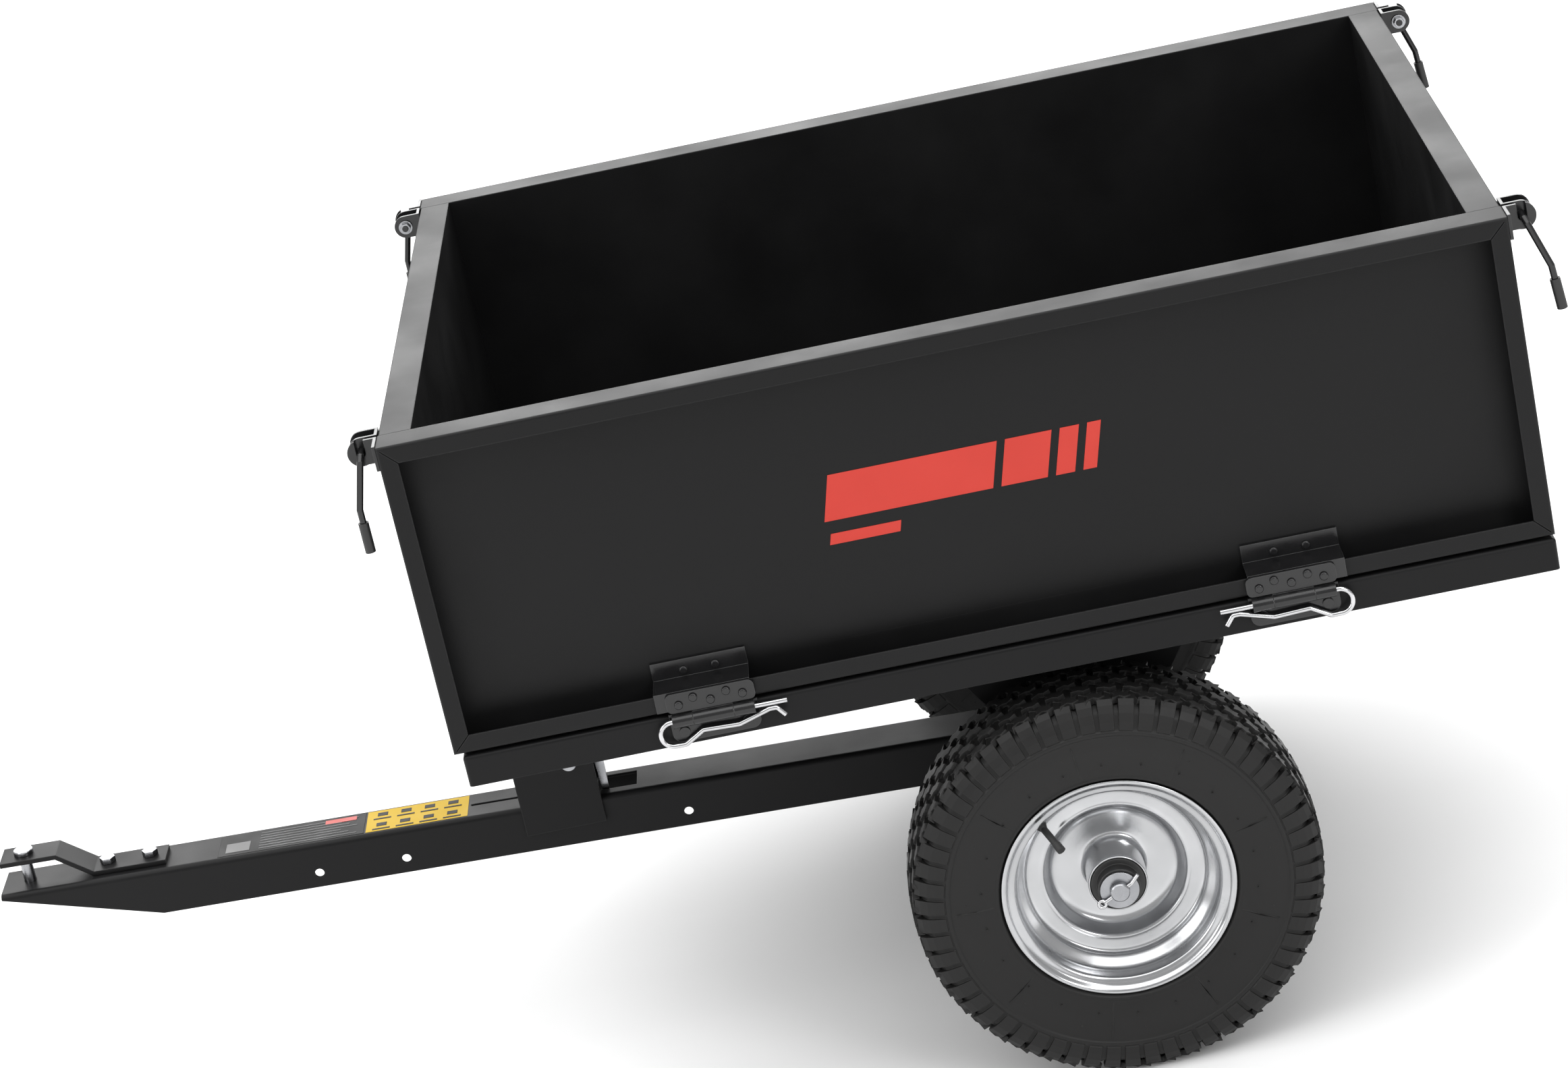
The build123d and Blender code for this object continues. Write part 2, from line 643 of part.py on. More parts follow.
with BuildPart(tongue) as hitch_strap:
    low = tongue_top + seat + strap_hitch_t / 2
    with BuildSketch(within(tongue, Plane.XZ.offset(-strap_hitch_w / 2))):
        with BuildLine():
            Polyline(
                (-hitch_reach + 4, low + strap_rise),
                (-hitch_reach + 64, low + strap_rise),
                (-hitch_reach + 100, low),
                (-hitch_reach + 178, low),
            )
        trace(line_width=strap_hitch_t)
    extrude(amount=strap_hitch_w)
    with Locations((-hitch_reach + hitch_back, 0, tongue_top + strap_rise)):
        Cylinder(hitch_r + run, 40, mode=Mode.SUBTRACT)
    with Locations(*[(x - axle_from_front, 0, tongue_top) for x in (-450, -404)]):
        Cylinder(4 + hole_clear, 30, mode=Mode.SUBTRACT)
keep("hitch_strap", hitch_strap.part)

with BuildPart(tongue) as hitch_bolts:
    on_strap = tongue_top + 2 * seat + strap_hitch_t
    places = [x - axle_from_front for x in (-450, -404)]
    for x in places:
        with Locations((x, 0, on_strap - 10)):
            Cylinder(4, 22)
    with BuildSketch(within(tongue, Plane.XY.offset(on_strap))):
        with Locations(*[(x, 0) for x in places]):
            RegularPolygon(8.5, 6)
    extrude(amount=6)
    with BuildSketch(within(tongue, Plane.XY.offset(tongue_top - tongue_t - seat))):
        with Locations(*[(x, 0) for x in places]):
            RegularPolygon(7.5, 6)
    extrude(amount=-6)
keep("hitch_bolts", hitch_bolts.part)

with BuildPart(tongue) as hitch_pin:
    pin_top = tongue_top + strap_rise + seat + strap_hitch_t + seat
    pin_foot = tongue_top - tongue_t - 9
    with Locations((-hitch_reach + hitch_back, 0, (pin_top + pin_foot) / 2)):
        Cylinder(hitch_r, pin_top - pin_foot)
    with Locations((-hitch_reach + hitch_back, 0, pin_top + 2.5)):
        Cylinder(10.5, 5)
    tip = hitch_pin.edges().group_by(Axis(tongue.origin, tongue.z_dir))
    chamfer(tip[0], 1.5)
    fillet(tip[-1], 1.2)
keep("hitch_pin", hitch_pin.part)

# ---------------------------------------------------------------- axle
axle_half = half_w + axle_stub
bush_end = track / 2 + 51.0
washer_t = 2.5
cotter_at = bush_end + seat + washer_t + 2.8
cotter_turn = 27.0

with BuildPart() as axle:
    with Locations((axle_x, 0, axle_z)):
        Cylinder(axle_r, 2 * axle_half, rotation=(90, 0, 0))
    chamfer(axle.edges().group_by(Axis.Y)[0] + axle.edges().group_by(Axis.Y)[-1], 1.2)
    for side in (-1, 1):
        with Locations(Location((axle_x, side * cotter_at, axle_z), (0, 90 - cotter_turn, 0))):
            Cylinder(2.4, 60, mode=Mode.SUBTRACT)
keep("axle", axle.part)

with BuildPart() as axle_spacers:
    inner = tongue_w / 2 + 2 * seat + plate
    for side in (-1, 1):
        spans = ((inner, bracket_web - plate - seat), (bracket_web + seat, track / 2 - 51.0 - seat))
        for start, end in spans:
            with Locations((axle_x, side * (start + end) / 2, axle_z)):
                Cylinder(spacer_r, end - start, rotation=(90, 0, 0))
                Cylinder(axle_r + 0.15, end - start, rotation=(90, 0, 0), mode=Mode.SUBTRACT)
        with Locations((axle_x, side * (bush_end + seat + washer_t / 2), axle_z)):
            Cylinder(19, washer_t, rotation=(90, 0, 0))
            Cylinder(axle_r + 0.15, 2 * washer_t, rotation=(90, 0, 0), mode=Mode.SUBTRACT)
keep("axle_spacers", axle_spacers.part)

with BuildPart() as cotter_pins:
    turn = math.radians(cotter_turn)
    for side in (-1, 1):
        here = Plane(
            origin=(axle_x, side * cotter_at, axle_z),
            x_dir=(math.cos(turn), 0, math.sin(turn)),
            z_dir=(0, -1, 0),
        )
        with BuildPart(mode=Mode.PRIVATE) as one:
            with BuildLine(here) as shape:
                FilletPolyline((-18.5, 0, 0), (14, 0, 0), (24, 4, 0), radius=5)
            with BuildSketch(Plane(origin=shape.line @ 0, z_dir=shape.line % 0)) as round_bar:
                Circle(1.9)
            sweep(round_bar.sketch, path=shape.line)
            with Locations(here.location * Location((-21.5, 0, 0))):
                Torus(3.6, 1.6)
        add(one.part)
keep("cotter_pins", cotter_pins.part)

# ---------------------------------------------------------------- wheels
wall = 2.4
seat_r = 101.0
well_r = 89.5
rim_r = 113.8
barrel_r = 28.0
barrel_half = 38.6
disc_at = 9.0
valve_turn = 131.8


def wheel_frame(side):
    """Plane on the wheel's centre with Z outboard along the axle."""
    return Plane(origin=(axle_x, side * track / 2, axle_z), x_dir=(1, 0, 0), z_dir=(0, side, 0))


for name, side in (("left", -1), ("right", 1)):
    hub = wheel_frame(side)
    with BuildPart(hub) as tyre:
        with BuildSketch(within(hub, Plane.XZ)):
            with BuildLine():
                outer = [(102.5, 43.5), (116, 43.5), (119, 50), (140, 55), (165, 56), (185, 52), (194, 46)]
                outer += [(200.5, 30), (203, 0)]
                inner = [(194, 0), (191, 30), (182, 44), (165, 48), (140, 47), (118, 36), (102.5, 35)]
                near = [(r, y) for r, y in outer] + [(r, -y) for r, y in reversed(outer[:-1])]
                far = [(r, -y) for r, y in reversed(inner[1:])] + inner
                grow = tyre_od / 2 - 203
                wide = tyre_w / 112
                points = [(r + grow * (r - 102.5) / 100.5, y * wide if r > 117 else y) for r, y in near + far]
                Polyline(*points, close=True)
            make_face()
        revolve(axis=Axis(hub.origin, hub.z_dir))
    keep(f"tyre_{name}", tyre.part)

    with BuildPart(hub) as rim:
        with BuildSketch(within(hub, Plane.XZ)):
            with BuildLine():
                Polyline(
                    (rim_r, 49.5),
                    (rim_r, 45),
                    (seat_r, 45),
                    (seat_r, 26),
                    (well_r, 17),
                    (well_r, -17),
                    (seat_r, -26),
                    (seat_r, -45),
                    (rim_r, -45),
                    (rim_r, -49.5),
                )
            trace(line_width=wall)
            with BuildLine():
                Polyline(
                    (well_r - 0.4, disc_at),
                    (74, disc_at),
                    (68, disc_at - 5),
                    (60, disc_at - 14),
                    (40, disc_at - 16),
                    (barrel_r, disc_at - 16),
                )
            trace(line_width=wall)
            with BuildLine():
                Polyline((barrel_r, -barrel_half), (barrel_r, barrel_half))
            trace(line_width=wall)
        revolve(axis=Axis(hub.origin, hub.z_dir))
    keep(f"rim_{name}", rim.part)

    with BuildPart(hub) as bushes:
        for end in (-1, 1):
            with Locations((0, 0, end * (barrel_half - 7))):
                Cylinder(barrel_r - wall / 2 - seat, 14)
            with Locations((0, 0, end * (barrel_half + 51.0) / 2)):
                Cylinder(21, 51.0 - barrel_half)
            with Locations((0, 0, end * barrel_half)):
                Cylinder(axle_r + run, 60, mode=Mode.SUBTRACT)
    keep(f"wheel_bushes_{name}", bushes.part)

    turn = math.radians(valve_turn)
    lean = Vector(-0.62, 0, 0.79).normalized()
    start = Vector((seat_r + well_r) / 2, 0, 21.5) + lean * (wall / 2 + seat)
    out = Vector(lean.X * math.cos(turn), lean.X * math.sin(turn) * -side, lean.Z)
    base = Vector(start.X * math.cos(turn), start.X * math.sin(turn) * -side, start.Z)
    with BuildPart(hub) as valve:
        with Locations(Plane(origin=base + out * 3, z_dir=out)):
            Cone(6.5, 4, 6)
        with Locations(Plane(origin=base + out * 18, z_dir=out)):
            Cylinder(3.6, 30)
        with Locations(Plane(origin=base + out * 33, z_dir=out)):
            Cylinder(4.3, 9)
    keep(f"valve_{name}", valve.part)

# ---------------------------------------------------------------- tilt latch
with BuildPart() as tilt_latch:
    at = -9.0
    with BuildSketch(Plane.XZ.offset(-at)):
        with Locations((front_x + latch_pivot_x, foot_z + latch_pivot_z)):
            Circle(12)
        with BuildLine():
            Polyline(*[(front_x + x, foot_z + z) for x, z in (
                (56, -200), (66, -180), (86, -186), (96, -166), (103, -168), (94, -200),
                (93, -250), (76, -250), (76, -245.5), (86, -242), (84, -202),
            )], close=True)
        make_face()
        with Locations((front_x + latch_pivot_x, foot_z + latch_pivot_z)):
            Circle(latch_pin_r + run, mode=Mode.SUBTRACT)
    extrude(amount=latch_t)
    with Locations((front_x + 99.5, at - latch_t / 2, foot_z - 167)):
        Box(7, 14, 16)
keep("tilt_latch", tilt_latch.part)

for name, part in nodes.items():
    export_step(part, f"parts/{name}.step")
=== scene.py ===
"""Studio scene of a tow-behind tipping cart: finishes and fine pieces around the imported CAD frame.

Metres, +Z up, forward is -X, the ground is Z = 0.
"""

import json
import logging
import math
from dataclasses import dataclass
from enum import Enum

import bmesh
import bpy
from mathutils import Matrix, Vector

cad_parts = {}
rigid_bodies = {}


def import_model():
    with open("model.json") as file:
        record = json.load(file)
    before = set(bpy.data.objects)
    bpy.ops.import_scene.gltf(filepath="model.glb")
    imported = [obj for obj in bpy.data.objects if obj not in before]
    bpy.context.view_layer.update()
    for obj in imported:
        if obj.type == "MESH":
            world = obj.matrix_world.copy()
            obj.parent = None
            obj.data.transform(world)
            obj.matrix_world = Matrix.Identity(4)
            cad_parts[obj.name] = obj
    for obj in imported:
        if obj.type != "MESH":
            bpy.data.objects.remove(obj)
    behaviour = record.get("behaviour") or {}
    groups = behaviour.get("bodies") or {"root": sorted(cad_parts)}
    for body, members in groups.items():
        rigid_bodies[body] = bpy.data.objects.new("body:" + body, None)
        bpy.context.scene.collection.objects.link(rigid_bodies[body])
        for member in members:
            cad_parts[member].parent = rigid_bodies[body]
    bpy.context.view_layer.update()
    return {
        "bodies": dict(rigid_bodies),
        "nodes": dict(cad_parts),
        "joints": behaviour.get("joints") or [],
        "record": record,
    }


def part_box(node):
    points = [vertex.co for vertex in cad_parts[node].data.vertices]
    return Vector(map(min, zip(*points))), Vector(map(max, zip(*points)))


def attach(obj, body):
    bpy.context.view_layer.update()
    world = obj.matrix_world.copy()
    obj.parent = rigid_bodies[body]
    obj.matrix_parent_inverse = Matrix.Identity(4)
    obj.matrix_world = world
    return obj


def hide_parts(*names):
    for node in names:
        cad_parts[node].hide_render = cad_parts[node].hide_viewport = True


logging.basicConfig(level=logging.INFO)
LOG = logging.getLogger("cart")
MM = 0.001
TONGUE_SLOPE = math.radians(1.92)


class Side(Enum):
    """The cart's two sides, with the sign of their Y."""

    LEFT = -1
    RIGHT = 1

    @property
    def word(self) -> str:
        """The side's name as it stands in node and body names."""
        return self.name.lower()


# ------------------------------------------------------------------ finishes
@dataclass(frozen=True)
class Finish:
    """One surface finish.

    Attributes:
        name: material name.
        base: main colour, linear.
        other: second colour that the first drifts towards.
        drift: size of the colour patches, per metre.
        metallic: 0 or 1.
        roughness: lowest and highest roughness.
        bump: strength of the grain.
        grain: fineness of the grain, per metre.
        wear: colour that shows on edges.
        wear_amount: how much of it shows.
        edge: radius of the rounded look of edges, in metres.
        specular: strength of the clear reflection.
    """

    name: str
    base: tuple[float, float, float]
    other: tuple[float, float, float]
    drift: float = 14.0
    metallic: float = 0.0
    roughness: tuple[float, float] = (0.4, 0.55)
    bump: float = 0.1
    grain: float = 900.0
    wear: tuple[float, float, float] = (0.2, 0.2, 0.2)
    wear_amount: float = 0.3
    edge: float = 0.0008
    specular: float = 0.5


PANEL = Finish(
    name="panel_powder", base=(0.0042, 0.0042, 0.0044), other=(0.0068, 0.0068, 0.007),
    drift=9.0, metallic=0.0, roughness=(0.36, 0.5), bump=0.16, grain=1100.0,
    wear=(0.07, 0.07, 0.07), wear_amount=0.5, edge=0.0012, specular=0.2,
)
FRAME = Finish(
    name="frame_powder", base=(0.005, 0.005, 0.0052), other=(0.008, 0.008, 0.0083), drift=12.0,
    metallic=0.0, roughness=(0.36, 0.48), bump=0.12, grain=1000.0, wear=(0.08, 0.08, 0.08),
    wear_amount=0.5, edge=0.0010, specular=0.16,
)
HARDWARE = Finish(
    name="black_hardware", base=(0.006, 0.006, 0.0064), other=(0.011, 0.011, 0.0115),
    drift=40.0, metallic=0.0, roughness=(0.14, 0.26), bump=0.06, grain=1500.0,
    wear=(0.2, 0.2, 0.2), wear_amount=0.45, edge=0.0005,
)
ZINC = Finish(
    name="zinc_plate", base=(0.40, 0.405, 0.42), other=(0.27, 0.275, 0.29), drift=60.0,
    metallic=1.0, roughness=(0.18, 0.34), bump=0.05, grain=2200.0, wear=(0.85, 0.85, 0.85),
    wear_amount=0.4, edge=0.0004,
)
BRIGHT = Finish(
    name="bright_wire", base=(0.62, 0.62, 0.63), other=(0.5, 0.5, 0.51), drift=80.0,
    metallic=1.0, roughness=(0.06, 0.16), bump=0.02, grain=2500.0, wear=(0.95, 0.95, 0.95),
    wear_amount=0.2, edge=0.0003,
)
RIM = Finish(
    name="rim_plate", base=(0.56, 0.565, 0.575), other=(0.42, 0.425, 0.435), drift=22.0,
    metallic=1.0, roughness=(0.14, 0.28), bump=0.03, grain=700.0, wear=(0.92, 0.92, 0.92),
    wear_amount=0.35, edge=0.0006,
)
TYRE = Finish(
    name="tyre_rubber", base=(0.0068, 0.0067, 0.0066), other=(0.0125, 0.0122, 0.012),
    drift=30.0, metallic=0.0, roughness=(0.40, 0.56), bump=0.22, grain=1300.0,
    wear=(0.045, 0.044, 0.042), wear_amount=0.6, edge=0.0006, specular=0.26,
)
GRIP = Finish(
    name="grip_rubber", base=(0.012, 0.012, 0.012), other=(0.018, 0.018, 0.018), drift=60.0,
    metallic=0.0, roughness=(0.42, 0.55), bump=0.08, grain=1800.0, wear=(0.05, 0.05, 0.05),
    wear_amount=0.4, edge=0.0005,
)
BUSH = Finish(
    name="bush", base=(0.010, 0.010, 0.010), other=(0.02, 0.02, 0.02), drift=60.0, metallic=0.0,
    roughness=(0.35, 0.5), bump=0.05, grain=1500.0,
)
RED = Finish(
    name="red_print", base=(0.52, 0.022, 0.009), other=(0.46, 0.02, 0.008), drift=20.0,
    metallic=0.0, roughness=(0.34, 0.44), bump=0.04, grain=1100.0, wear=(0.62, 0.05, 0.03),
    wear_amount=0.1, edge=0.0002,
)
YELLOW = Finish(
    name="yellow_label", base=(0.62, 0.40, 0.005), other=(0.56, 0.36, 0.005), drift=30.0,
    metallic=0.0, roughness=(0.45, 0.55), bump=0.02, grain=900.0, wear=(0.6, 0.4, 0.05),
    wear_amount=0.1, edge=0.0001, specular=0.2,
)
INK = Finish(
    name="label_ink", base=(0.010, 0.010, 0.010), other=(0.016, 0.016, 0.016), drift=30.0,
    metallic=0.0, roughness=(0.45, 0.55), bump=0.02, specular=0.2,
)
PALE = Finish(
    name="label_pale", base=(0.20, 0.20, 0.20), other=(0.16, 0.16, 0.16), drift=30.0,
    metallic=0.0, roughness=(0.45, 0.55), bump=0.02, specular=0.2,
)


class Finisher:
    """Builds each finish once as a node material on object coordinates."""

    def __init__(self) -> None:
        """Starts with no material made."""
        self._made: dict[str, bpy.types.Material] = {}

    def get(self, finish: Finish) -> bpy.types.Material:
        """Returns the material of a finish.

        Args:
            finish: what the surface looks like.

        Returns:
            The node-based material.
        """
        if finish.name not in self._made:
            self._made[finish.name] = self._build(finish)
        return self._made[finish.name]

    def _build(self, finish: Finish) -> bpy.types.Material:
        """Makes the node material: drifting colour, worn edges, grain and varied roughness.

        Args:
            finish: what the surface looks like.

        Returns:
            The new material.
        """
        mat = bpy.data.materials.new(finish.name)
        mat.use_nodes = True
        mat.diffuse_color = (*finish.base, 1.0)
        tree = mat.node_tree
        new, link = tree.nodes.new, tree.links.new
        shader = tree.nodes["Principled BSDF"]
        shader.inputs["Metallic"].default_value = finish.metallic
        shader.inputs["Specular IOR Level"].default_value = finish.specular
        place = new("ShaderNodeTexCoord")

        patches = new("ShaderNodeTexNoise")
        patches.inputs["Scale"].default_value = finish.drift
        patches.inputs["Detail"].default_value = 6.0
        link(place.outputs["Object"], patches.inputs["Vector"])
        tint = new("ShaderNodeMix")
        tint.data_type = "RGBA"
        tint.inputs["A"].default_value = (*finish.base, 1.0)
        tint.inputs["B"].default_value = (*finish.other, 1.0)
        link(patches.outputs["Fac"], tint.inputs["Factor"])

        soft = new("ShaderNodeBevel")
        soft.samples = 4
        soft.inputs["Radius"].default_value = finish.edge * 1.6
        shape = new("ShaderNodeNewGeometry")
        facing = new("ShaderNodeVectorMath")
        facing.operation = "DOT_PRODUCT"
        link(soft.outputs["Normal"], facing.inputs[0])
        link(shape.outputs["Normal"], facing.inputs[1])
        edges = new("ShaderNodeMapRange")
        edges.inputs["From Min"].default_value = 0.995
        edges.inputs["From Max"].default_value = 0.90
        edges.inputs["To Max"].default_value = finish.wear_amount
        link(facing.outputs["Value"], edges.inputs["Value"])
        chips = new("ShaderNodeTexNoise")
        chips.inputs["Scale"].default_value = 180.0
        link(place.outputs["Object"], chips.inputs["Vector"])
        worn = new("ShaderNodeMath")
        worn.operation = "MULTIPLY"
        link(edges.outputs["Result"], worn.inputs[0])
        link(chips.outputs["Fac"], worn.inputs[1])
        colour = new("ShaderNodeMix")
        colour.data_type = "RGBA"
        colour.inputs["B"].default_value = (*finish.wear, 1.0)
        link(worn.outputs["Value"], colour.inputs["Factor"])
        link(tint.outputs["Result"], colour.inputs["A"])
        link(colour.outputs["Result"], shader.inputs["Base Color"])

        grain = new("ShaderNodeTexNoise")
        grain.inputs["Scale"].default_value = finish.grain
        grain.inputs["Detail"].default_value = 3.0
        link(place.outputs["Object"], grain.inputs["Vector"])
        bump = new("ShaderNodeBump")
        bump.inputs["Strength"].default_value = finish.bump
        bump.inputs["Distance"].default_value = 0.0004
        link(grain.outputs["Fac"], bump.inputs["Height"])
        link(soft.outputs["Normal"], bump.inputs["Normal"])
        link(bump.outputs["Normal"], shader.inputs["Normal"])

        rough = new("ShaderNodeMapRange")
        rough.inputs["From Min"].default_value = 0.3
        rough.inputs["From Max"].default_value = 0.7
        rough.inputs["To Min"].default_value = finish.roughness[0]
        rough.inputs["To Max"].default_value = finish.roughness[1]
        link(patches.outputs["Fac"], rough.inputs["Value"])
        link(rough.outputs["Result"], shader.inputs["Roughness"])
        return mat


# ------------------------------------------------------------------ modelling helpers
class Modeller:
    """Makes pieces with operators and leaves them unrotated, with their place in the mesh."""

    def __init__(self, finisher: Finisher) -> None:
        """Keeps the maker of materials."""
        self._finisher = finisher

    @staticmethod
    def clear() -> None:
        """Leaves nothing selected."""
        bpy.ops.object.select_all(action="DESELECT")

    def settle(
        self, obj: bpy.types.Object, name: str, finish: Finish, body: str, slot: str
    ) -> bpy.types.Object:
        """Names, finishes and attaches a piece.

        Args:
            obj: the piece, in place.
            name: its name.
            finish: its finish.
            body: the CAD body that it moves with.
            slot: the record's material slot; not used.

        Returns:
            The same piece.
        """
        obj.data.transform(obj.matrix_world)
        obj.matrix_world = Matrix.Identity(4)
        obj.name = name
        obj.data.name = name
        obj.data.materials.clear()
        obj.data.materials.append(self._finisher.get(finish))
        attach(obj, body)
        return obj

    def box(self, centre: Vector, size: Vector, turn_y: float = 0.0) -> bpy.types.Object:
        """A box at a place.

        Args:
            centre: its centre, in metres.
            size: its full sizes, in metres.
            turn_y: turn about Y, in radians.

        Returns:
            The new object, active and selected alone.
        """
        self.clear()
        turn = (0.0, turn_y, 0.0)
        bpy.ops.mesh.primitive_cube_add(size=1.0, location=centre, rotation=turn, scale=size)
        obj = bpy.context.active_object
        bpy.ops.object.transform_apply(location=True, rotation=True, scale=True)
        return obj

    def spun(
        self, outline: list[tuple[float, float]], centre: Vector, outward: float, steps: int
    ) -> bpy.types.Object:
        """A ring swept round an axis along Y.

        Args:
            outline: (radius, distance outboard) pairs in millimetres.
            centre: centre of the ring, in metres.
            outward: sign of Y that is outboard.
            steps: facets round the ring.

        Returns:
            The new object, active and selected alone.
        """
        self.clear()
        bpy.ops.mesh.primitive_plane_add(size=0.01, location=centre)
        obj = bpy.context.active_object
        bpy.ops.object.transform_apply(location=True, rotation=True, scale=True)
        mesh = bmesh.new()
        points = [
            mesh.verts.new((centre.x + r * MM, centre.y + outward * y * MM, centre.z))
            for r, y in outline
        ]
        for a, b in zip(points, points[1:] + points[:1]):
            mesh.edges.new((a, b))
        mesh.to_mesh(obj.data)
        mesh.free()
        bpy.ops.object.mode_set(mode="EDIT")
        bpy.ops.mesh.select_all(action="SELECT")
        bpy.ops.mesh.spin(steps=steps, angle=math.tau, center=centre, axis=(0.0, 1.0, 0.0))
        bpy.ops.mesh.select_all(action="SELECT")
        bpy.ops.mesh.remove_doubles(threshold=0.00002)
        bpy.ops.mesh.normals_make_consistent(inside=False)
        bpy.ops.object.mode_set(mode="OBJECT")
        bpy.ops.object.shade_smooth()
        return obj

    def join(self, pieces: list[bpy.types.Object]) -> bpy.types.Object:
        """Joins pieces into the first.

        Args:
            pieces: at least one object.

        Returns:
            The joined object.
        """
        self.clear()
        for piece in pieces:
            piece.select_set(True)
        bpy.context.view_layer.objects.active = pieces[0]
        bpy.ops.object.join()
        return pieces[0]


def rounded(
    points: list[tuple[float, float]], radius: float, steps: int
) -> list[tuple[float, float]]:
    """Rounds the inner corners of an open line.

    Args:
        points: the line's corners.
        radius: largest rounding radius.
        steps: points put in at each corner.

    Returns:
        The line with its corners cut by short curves.
    """
    out = [points[0]]
    for before, here, after in zip(points[:-2], points[1:-1], points[2:]):
        p, a, b = Vector(here), Vector(before), Vector(after)
        cut_a = min(radius, (a - p).length * 0.45)
        cut_b = min(radius, (b - p).length * 0.45)
        start = p + (a - p).normalized() * cut_a
        end = p + (b - p).normalized() * cut_b
        for i in range(steps + 1):
            t = i / steps
            q = start.lerp(p, t).lerp(p.lerp(end, t), t)
            out.append((q.x, q.y))
    out.append(points[-1])
    return out


# ------------------------------------------------------------------ sub-assemblies
@dataclass
class WheelSizes:
    """Sizes of the pneumatic wheel, in millimetres.

    Attributes:
        blocks: tread blocks round each row.
        tread_r: radius of the rubber under the blocks.
        crown_r: radius over the blocks.
        lug_count: shoulder ribs on each side.
        lug_width: width of a rib where it meets the tread.
        tyre_steps: facets round the tyre.
        rim_steps: facets round the rim.
        rows: distance of each row of blocks from the middle.
        block_fill: share of its pitch that a block takes.
        block_half: half the width of a block across the tread.
        block_root: how far a block reaches down into the rubber.
        crown_fall: drop of the crown per squared millimetre from the middle.
        zig: how far the ends of a block are slanted.
        lug_depth: how far a shoulder rib reaches down into the rubber.
        mould_lines: radial mould lines on each side wall.
        mould_rise: how far a mould line stands up.
        pips: radius and count of each ring of vent pips.
        pip_half: half the width of a pip at its foot.
    """

    blocks: int = 50
    tread_r: float = 198.8
    crown_r: float = 202.7
    lug_count: int = 60
    lug_width: float = 16.6
    tyre_steps: int = 128
    rim_steps: int = 128
    rows: tuple[float, ...] = (-36.0, -18.5, 0.0, 18.5, 36.0)
    block_fill: float = 0.82
    block_half: float = 8.3
    block_root: float = 3.0
    crown_fall: float = 0.0021
    zig: float = 2.4
    lug_depth: float = 4.0
    mould_lines: int = 9
    mould_rise: float = 0.7
    pips: tuple[tuple[float, int], ...] = ((134.0, 22), (150.0, 15))
    pip_half: float = 0.8


